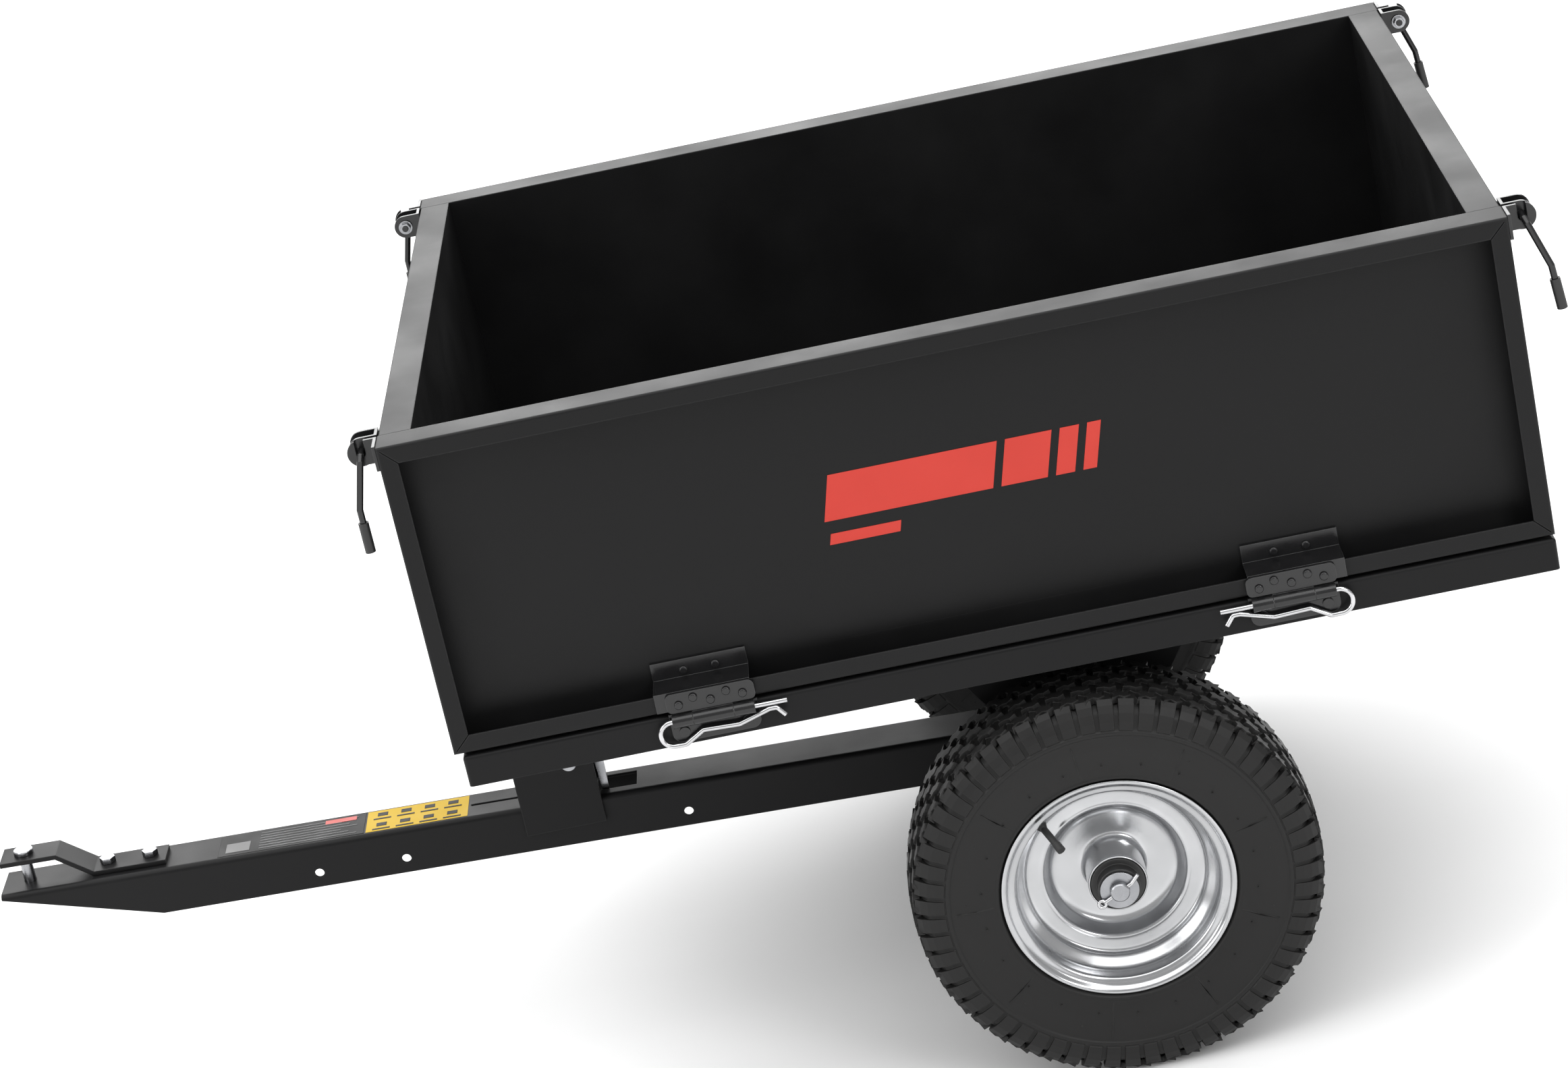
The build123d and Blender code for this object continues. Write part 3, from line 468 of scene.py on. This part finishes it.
class Wheel:
    """Tyre with block tread and ribbed shoulders, and a pressed rim."""

    def __init__(self, side: Side, modeller: Modeller, sizes: WheelSizes = WheelSizes()) -> None:
        """Finds the wheel's centre from the plain tyre."""
        self._side = side
        self._make = modeller
        self._sizes = sizes
        lo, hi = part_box(f"tyre_{side.word}")
        self._centre = (lo + hi) / 2
        self._body = f"wheel_{side.word}"

    def build(self) -> None:
        """Makes the tyre and the rim and hides the plain ones."""
        relief = self._tread() + self._shoulder() + self._mould_marks()
        tyre = self._make.join([self._carcass()] + relief)
        self._make.settle(tyre, f"tyre_detail_{self._side.word}", TYRE, self._body, "tyre")
        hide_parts(f"tyre_{self._side.word}")
        rim = self._rim()
        self._make.settle(rim, f"rim_detail_{self._side.word}", RIM, self._body, "rim")
        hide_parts(f"rim_{self._side.word}")

    def _carcass(self) -> bpy.types.Object:
        """The tyre's casing, from the smooth crown down to the beads, with its inside."""
        base = self._sizes.tread_r
        half = [
            (base, 0.0), (base - 1, 20), (base - 4, 34), (base - 8, 44), (186, 50), (176, 52.5),
            (169.5, 54.2), (168.5, 55.9), (165.0, 55.9), (164.0, 54.4), (152, 55.2), (140, 54.6),
            (128, 52.4), (121, 50.6), (119.5, 51.4), (117.5, 51.0), (116.3, 48.8), (114.2, 45.6),
            (109.5, 42.4), (104, 40.2), (102.9, 38),
        ]
        half = rounded(half, 3.0, 3)
        outline = [(r, -y) for r, y in reversed(half[1:])] + half
        inner = [(102.6, 34), (118, 35), (140, 46), (165, 47), (182, 43), (190, 29), (191, 0)]
        outline += inner + [(r, -y) for r, y in reversed(inner[:-1])]
        return self._make.spun(outline, self._centre, self._side.value, self._sizes.tyre_steps)

    def _ring(self, points: list[tuple[float, float, float]], faces: list[tuple[int, ...]],
              turns: list[float]) -> bpy.types.Object:
        """Copies one small solid round the wheel.

        Args:
            points: (tangent, outboard, radius) corners in millimetres.
            faces: corner numbers of each face.
            turns: angle of each copy, in radians.

        Returns:
            One object with all the copies.
        """
        self._make.clear()
        bpy.ops.mesh.primitive_plane_add(size=0.01, location=self._centre)
        obj = bpy.context.active_object
        bpy.ops.object.transform_apply(location=True, rotation=True, scale=True)
        mesh = bmesh.new()
        for turn in turns:
            c, s = math.cos(turn), math.sin(turn)
            made = []
            for t, y, r in points:
                x, z = r * c - t * s, r * s + t * c
                place = Vector((x, self._side.value * y, z)) * MM
                made.append(mesh.verts.new(self._centre + place))
            for face in faces:
                mesh.faces.new([made[i] for i in face])
        mesh.to_mesh(obj.data)
        mesh.free()
        bpy.ops.object.mode_set(mode="EDIT")
        bpy.ops.mesh.select_all(action="SELECT")
        bpy.ops.mesh.normals_make_consistent(inside=False)
        bpy.ops.object.mode_set(mode="OBJECT")
        return obj

    @staticmethod
    def _prism(
        outline: list[tuple[float, float]], low: float, high: float, shrink: float
    ) -> tuple[list[tuple[float, float, float]], list[tuple[int, ...]]]:
        """Corners and faces of a block standing on an outline of (tangent, outboard) points."""
        n = len(outline)
        mid_t = sum(t for t, _ in outline) / n
        mid_y = sum(y for _, y in outline) / n
        points = [(t, y, low) for t, y in outline]
        points += [
            (mid_t + (t - mid_t) * shrink, mid_y + (y - mid_y) * shrink, high)
            for t, y in outline
        ]
        faces = [tuple(range(n, 2 * n)), tuple(reversed(range(n)))]
        faces += [(i, (i + 1) % n, n + (i + 1) % n, n + i) for i in range(n)]
        return points, faces

    def _tread(self) -> list[bpy.types.Object]:
        """Rows of notched blocks on the crown."""
        made = []
        sizes = self._sizes
        for row, y0 in enumerate(sizes.rows):
            pitch = math.tau / sizes.blocks
            arc = pitch * sizes.tread_r * sizes.block_fill
            sink = sizes.crown_fall * y0 * y0
            zig = sizes.zig if row % 2 else -sizes.zig
            half_t, half_y = arc / 2, sizes.block_half
            outline = [
                (-half_t, y0 - half_y + zig), (-half_t * 0.25, y0 - half_y * 0.55),
                (half_t * 0.3, y0 - half_y), (half_t, y0 - half_y * 0.5 - zig * 0.5),
                (half_t * 0.72, y0 + half_y * 0.2), (half_t, y0 + half_y - zig),
                (half_t * 0.2, y0 + half_y * 0.6), (-half_t * 0.3, y0 + half_y),
                (-half_t, y0 + half_y * 0.5), (-half_t * 0.7, y0),
            ]
            low = sizes.tread_r - sizes.block_root - sink
            high = sizes.crown_r - sink
            points, faces = self._prism(outline, low, high, 0.9)
            shift = pitch * 0.5 if row % 2 else 0.0
            turns = [i * pitch + shift for i in range(sizes.blocks)]
            made.append(self._ring(points, faces, turns))
        return made

    def _shoulder(self) -> list[bpy.types.Object]:
        """Ribs that run from the tread's edge down to the shoulder line."""
        made = []
        sizes = self._sizes
        pitch = math.tau / sizes.lug_count
        deep = sizes.lug_depth
        rings = [(198.2, 43.6), (193.4, 48.2), (186.4, 52.0), (178.4, 54.3), (170.5, 55.6)]
        for sign in (-1.0, 1.0):
            points, faces = [], []
            for r, y in rings:
                half = sizes.lug_width * r / 200.0 / 2
                foot = sign * (y - deep)
                points += [(-half, foot, r - deep), (half, foot, r - deep),
                           (half * 0.92, sign * y, r), (-half * 0.92, sign * y, r)]
            for k in range(len(rings) - 1):
                a, b = 4 * k, 4 * k + 4
                for i, j in ((0, 1), (1, 2), (2, 3), (3, 0)):
                    faces.append((a + i, a + j, b + j, b + i))
            faces += [(3, 2, 1, 0), tuple(range(4 * len(rings) - 4, 4 * len(rings)))]
            made.append(self._ring(points, faces, [i * pitch for i in range(sizes.lug_count)]))
        return made

    def _mould_marks(self) -> list[bpy.types.Object]:
        """Thin radial mould lines and vent pips on both side walls."""
        made = []
        sizes = self._sizes
        for sign in (-1.0, 1.0):
            line = [(-0.35, sign * y, r) for r, y in ((123.0, 50.6), (141.0, 54.9), (159.0, 55.0))]
            line += [(0.35, y, r) for _, y, r in reversed(line)]
            raised = [(t, y + sign * sizes.mould_rise, r) for t, y, r in line]
            n = len(line)
            faces = [tuple(range(n)), tuple(reversed(range(n, 2 * n)))]
            faces += [(i, (i + 1) % n, n + (i + 1) % n, n + i) for i in range(n)]
            turns = [0.3 + i * math.tau / sizes.mould_lines for i in range(sizes.mould_lines)]
            made.append(self._ring(line + raised, faces, turns))
            for radius, count in sizes.pips:
                half, foot = sizes.pip_half, sign * 53.5
                pip = [(-half, foot, radius - half), (half, foot, radius - half),
                       (half, foot, radius + half), (-half, foot, radius + half)]
                pip += [(t * 0.6, sign * 55.9, radius + (r - radius) * 0.6) for t, _, r in pip]
                sides = [(i, (i + 1) % 4, 4 + (i + 1) % 4, 4 + i) for i in range(4)]
                turns = [0.1 + i * math.tau / count for i in range(count)]
                made.append(self._ring(pip, [(3, 2, 1, 0), (4, 5, 6, 7)] + sides, turns))
        return made

    def _rim(self) -> bpy.types.Object:
        """Pressed rim: rolled flanges, well, dished disc and hub barrel."""
        outer = [
            (112.6, 46.8), (114.6, 48.2), (114.3, 49.6), (112.0, 49.9), (109.6, 48.4),
            (107.4, 45.2), (101.4, 43.6), (99.8, 41), (99.4, 28), (97.2, 24.5), (90.2, 18.5),
            (88.4, 16), (88.2, 12.4), (85.5, 10.4), (74.8, 10.2), (72.0, 11.0), (70.0, 9.8),
            (67.5, 5.0), (62.5, -3.5), (57, -5.8), (40, -6.8), (33, -6.6), (30.4, -4.5),
            (29.3, 0), (29.2, 36.5), (28.6, 38.4), (27.2, 38.5), (26.9, 36),
        ]
        back = [
            (26.9, -36), (27.2, -38.5), (28.6, -38.4), (29.2, -36.5), (29.2, -9.4), (34, -9.2),
            (57, -8.2), (63.5, -5.8), (69.5, 3.4), (73, 7.8), (86, 8.0), (88, 4), (88.2, -16),
            (97.2, -24.5), (99.4, -28), (99.6, -43), (107.4, -45.2), (112.0, -49.6),
            (114.6, -48.2), (112.8, -46.6), (109.2, -43.4), (102.2, -41.6), (101.6, -28),
            (99.2, -23), (90.6, -16), (90.6, 16), (99.2, 23), (101.6, 28), (102.2, 41.6),
            (109.2, 43.4),
        ]
        outline = rounded(outer, 2.6, 3) + back
        return self._make.spun(outline, self._centre, self._side.value, self._sizes.rim_steps)


@dataclass
class LabelSizes:
    """Sizes and places of the plain labels on the drawbar, in millimetres.

    Attributes:
        width: width of both labels.
        thick: thickness of a label and of each patch on it.
        dark: ends of the dark label, measured from the axle and negative ahead of it.
        yellow: ends of the yellow label, measured the same way.
        top: height of the drawbar's top above the axle's middle.
        label_lift: gap under the two labels.
        patch_lift: height of the patches on them.
        red_lift: height of the red patch.
        tiles: tiles in each of the yellow label's two lanes.
        tile_pitch: distance from one tile to the next.
        tile_length: length of a tile.
        lines: thin lines on the dark label.
        line_pitch: distance from one line to the next.
    """

    width: float = 50.0
    thick: float = 0.25
    dark: tuple[float, float] = (-927.0, -769.0)
    yellow: tuple[float, float] = (-767.0, -657.0)
    top: float = 14.0
    label_lift: float = 0.05
    patch_lift: float = 0.32
    red_lift: float = 0.34
    tiles: int = 4
    tile_pitch: float = 25.5
    tile_length: float = 19.0
    lines: int = 7
    line_pitch: float = 6.2


class Drawbar:
    """Plain labels on the drawbar's top."""

    def __init__(self, modeller: Modeller, sizes: LabelSizes = LabelSizes()) -> None:
        """Finds the axle, from which the labels are placed."""
        self._make = modeller
        self._sizes = sizes
        lo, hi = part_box("axle")
        self._axle = (lo + hi) / 2

    def _at(self, along: float, across: float, up: float) -> Vector:
        """A point on the sloping drawbar, from millimetres along, across and above it."""
        c, s = math.cos(TONGUE_SLOPE), math.sin(TONGUE_SLOPE)
        return self._axle + Vector((along * c + up * s, across, -along * s + up * c)) * MM

    def _patch(
        self, name: str, along: tuple[float, float], across: tuple[float, float], lift: float,
        finish: Finish,
    ) -> None:
        """Lays one flat patch on the drawbar.

        Args:
            name: its name.
            along: its ends along the drawbar.
            across: its two edges.
            lift: gap below it.
            finish: its finish.
        """
        height = self._sizes.top + lift + self._sizes.thick / 2
        mid = self._at(sum(along) / 2, sum(across) / 2, height)
        size = Vector((along[1] - along[0], across[1] - across[0], self._sizes.thick)) * MM
        patch = self._make.box(mid, size, TONGUE_SLOPE)
        self._make.settle(patch, name, finish, "chassis", "frame_paint")

    def build(self) -> None:
        """Makes every patch of the two plain labels."""
        s = self._sizes
        half, raised = s.width / 2, s.patch_lift
        self._patch("label_dark", s.dark, (-half, half), s.label_lift, INK)
        self._patch("label_yellow", s.yellow, (-half, half), s.label_lift, YELLOW)
        for i in range(s.tiles):
            start = s.yellow[0] + 7 + i * s.tile_pitch
            for j, lane in enumerate((-half + 3, 3.0)):
                tile = (start, start + s.tile_length)
                self._patch(f"label_tile_{i}_{j}", tile, (lane, lane + 3.0), raised, INK)
                dot = (start + 4, start + 15)
                self._patch(f"label_dot_{i}_{j}", dot, (lane + 8, lane + 16), raised, INK)
        for i in range(s.lines):
            lane = -half + 5 + i * s.line_pitch
            line = (s.dark[0] + 44, s.dark[1] - 8 - (i % 3) * 9)
            self._patch(f"label_line_{i}", line, (lane, lane + 1.6), raised, PALE)
        block = (s.dark[0] + 8, s.dark[0] + 34)
        self._patch("label_block", block, (-half + 6, half - 22), raised, PALE)
        red = (s.dark[1] - 44, s.dark[1] - 10)
        self._patch("label_red", red, (half - 13, half - 4), s.red_lift, RED)


@dataclass
class StripeSizes:
    """Sizes of the plain printed bars on the side panel, in millimetres.

    Attributes:
        start: front end of the print, from the panel's front end.
        length: length of the whole row of bars.
        low: lower edge of the row, from the panel's lower edge.
        height: height of the row.
        slant: how far the top of a full-height bar leans past its foot.
        spans: ends of each bar as shares of the length.
        sheet_depth: how far the printed sheet lies behind the panel's outermost point.
        lift: distance of a bar's middle from the sheet.
        thick: thickness of a bar.
    """

    start: float = 398.0
    length: float = 262.0
    low: float = 146.0
    height: float = 46.0
    slant: float = 12.0
    spans: tuple[tuple[float, float], ...] = ((0.0, 0.62), (0.65, 0.82), (0.85, 0.92), (0.95, 1.0))
    sheet_depth: float = 34.0
    lift: float = 0.25
    thick: float = 0.2


class SidePrint:
    """Plain red bars printed on a side panel's sheet."""

    def __init__(self, side: Side, modeller: Modeller, sizes: StripeSizes = StripeSizes()) -> None:
        """Finds the panel that carries the print."""
        self._side = side
        self._make = modeller
        self._sizes = sizes
        self._lo, self._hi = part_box(f"panel_{side.word}")

    def _bar(self, name: str, start: float, end: float, low: float, high: float) -> None:
        """Prints one slanted bar.

        Args:
            name: its name.
            start: its front end.
            end: its rear end.
            low: its lower edge.
            high: its upper edge.
        """
        s = self._sizes
        wall = s.sheet_depth * MM
        y = self._lo.y + wall if self._side is Side.LEFT else self._hi.y - wall
        y += s.lift * MM * self._side.value
        mid = Vector((self._lo.x + (start + end) / 2 * MM, y, self._lo.z + (low + high) / 2 * MM))
        size = Vector((end - start, s.thick, high - low)) * MM
        bar = self._make.box(mid, size)
        for vert in bar.data.vertices:
            vert.co.x += (vert.co.z - mid.z) * s.slant / s.height
        self._make.settle(bar, name, RED, f"panel_{self._side.word}", "panel_paint")

    def build(self) -> None:
        """Prints one long bar, two short ones and a thin line below."""
        s = self._sizes
        word = self._side.word
        for i, (a, b) in enumerate(s.spans):
            ends = (s.start + a * s.length, s.start + b * s.length)
            self._bar(f"print_bar_{word}_{i}", *ends, s.low, s.low + s.height)
        self._bar(f"print_line_{word}", s.start - 4, s.start + 64, s.low - 24, s.low - 13)


class Cart:
    """The whole cart: finishes on the CAD nodes and the finer pieces."""

    RULES: tuple[tuple[str, Finish], ...] = (
        ("panel_", PANEL), ("latch_grip", GRIP), ("latch_lever", HARDWARE), ("latch_nut", ZINC),
        ("hinge_clips", BRIGHT), ("cotter_pins", BRIGHT), ("hinge_", HARDWARE),
        ("latch_ears", HARDWARE), ("keepers_", HARDWARE), ("latch_pivot", ZINC),
        ("tilt_latch", ZINC), ("valve_", GRIP), ("wheel_bushes", BUSH), ("rim_", RIM),
        ("tyre_", TYRE), ("hitch_pin", ZINC), ("hitch_bolts", ZINC),
        ("drawbar_bolts", ZINC), ("axle_bracket", FRAME), ("axle_spacers", ZINC), ("axle", ZINC),
        ("frame_bolts", HARDWARE),
    )

    def __init__(self, frame: dict) -> None:
        """Keeps the CAD nodes and makes the helpers."""
        self._nodes = frame["nodes"]
        self._finisher = Finisher()
        self._make = Modeller(self._finisher)

    def finish_nodes(self) -> None:
        """Gives every CAD node its finish."""
        for name, node in self._nodes.items():
            finish = next((f for start, f in self.RULES if name.startswith(start)), FRAME)
            node.data.materials.clear()
            node.data.materials.append(self._finisher.get(finish))

    def build(self) -> None:
        """Finishes the nodes and models every finer piece."""
        self.finish_nodes()
        for side in Side:
            Wheel(side, self._make).build()
        Drawbar(self._make).build()
        SidePrint(Side.LEFT, self._make).build()
        LOG.info("cart built")


# ------------------------------------------------------------------ studio
@dataclass
class Lamp:
    """A soft box.

    Attributes:
        name: its name.
        place: where it stands, in metres.
        target: where it points.
        size: its two sides, in metres.
        power: watts.
    """

    name: str
    place: tuple[float, float, float]
    target: tuple[float, float, float]
    size: tuple[float, float]
    power: float


class Studio:
    """Floor, soft boxes, world and the calibrated camera."""

    LAMPS = (
        Lamp("top_box", (0.0, -0.4, 5.5), (0.0, -0.4, 0.0), (9.0, 9.0), 560.0),
        Lamp("back_box", (0.3, 5.4, 2.9), (0.3, 0.0, 0.75), (8.0, 2.6), 250.0),
        Lamp("left_box", (-3.4, -2.4, 2.0), (-0.2, 0.0, 0.4), (1.4, 2.4), 50.0),
        Lamp("rim_box", (2.6, -3.6, 2.2), (0.4, -0.3, 0.25), (1.2, 1.6), 45.0),
    )
    CAMERA_AT = (0.2852, -4.0796, 2.0546)
    FORWARD = (-0.0515, 0.9310, -0.3613)
    ROLL = math.radians(12.6)
    LENS = 96.85

    def build(self) -> None:
        """Sets the floor, lamps, world and camera."""
        self._floor()
        for lamp in self.LAMPS:
            self._lamp(lamp)
        self._world()
        self._camera()

    def _floor(self) -> None:
        """Lays the pale floor just under the ground plane."""
        Modeller.clear()
        bpy.ops.mesh.primitive_plane_add(size=60.0, location=(0.0, 0.0, -0.0005))
        floor = bpy.context.active_object
        floor.name = "studio_floor"
        mat = bpy.data.materials.new("studio_floor")
        mat.use_nodes = True
        shader = mat.node_tree.nodes["Principled BSDF"]
        shader.inputs["Base Color"].default_value = (0.86, 0.86, 0.86, 1.0)
        shader.inputs["Roughness"].default_value = 0.9
        floor.data.materials.append(mat)

    def _lamp(self, lamp: Lamp) -> None:
        """Hangs one soft box and points it at its target."""
        data = bpy.data.lights.new(lamp.name, "AREA")
        data.shape = "RECTANGLE"
        data.size, data.size_y = lamp.size
        data.energy = lamp.power
        obj = bpy.data.objects.new(lamp.name, data)
        bpy.context.scene.collection.objects.link(obj)
        obj.location = lamp.place
        aim = Vector(lamp.target) - Vector(lamp.place)
        obj.rotation_euler = aim.to_track_quat("-Z", "Y").to_euler()

    def _world(self) -> None:
        """Sets the white surroundings and the view transform."""
        world = bpy.data.worlds.new("studio_world")
        world.use_nodes = True
        back = world.node_tree.nodes["Background"]
        back.inputs["Color"].default_value = (1.0, 1.0, 1.0, 1.0)
        back.inputs["Strength"].default_value = 0.55
        bpy.context.scene.world = world
        bpy.context.scene.view_settings.view_transform = "Standard"

    def _camera(self) -> None:
        """Places the rolled camera."""
        data = bpy.data.cameras.new("camera")
        data.lens = self.LENS
        data.sensor_width = 36.0
        data.clip_end = 200.0
        camera = bpy.data.objects.new("camera", data)
        bpy.context.scene.collection.objects.link(camera)
        ahead = Vector(self.FORWARD).normalized()
        right = ahead.cross(Vector((0.0, 0.0, 1.0))).normalized()
        up = right.cross(ahead)
        cos, sin = math.cos(self.ROLL), math.sin(self.ROLL)
        cam_right = right * cos - up * sin
        cam_up = right * sin + up * cos
        turn = Matrix((cam_right, cam_up, -ahead)).transposed()
        camera.matrix_world = Matrix.Translation(self.CAMERA_AT) @ turn.to_4x4()
        bpy.context.scene.camera = camera


def main() -> None:
    """Builds the cart and the studio."""
    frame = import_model()
    Cart(frame).build()
    Studio().build()


if __name__ == "__main__":
    main()
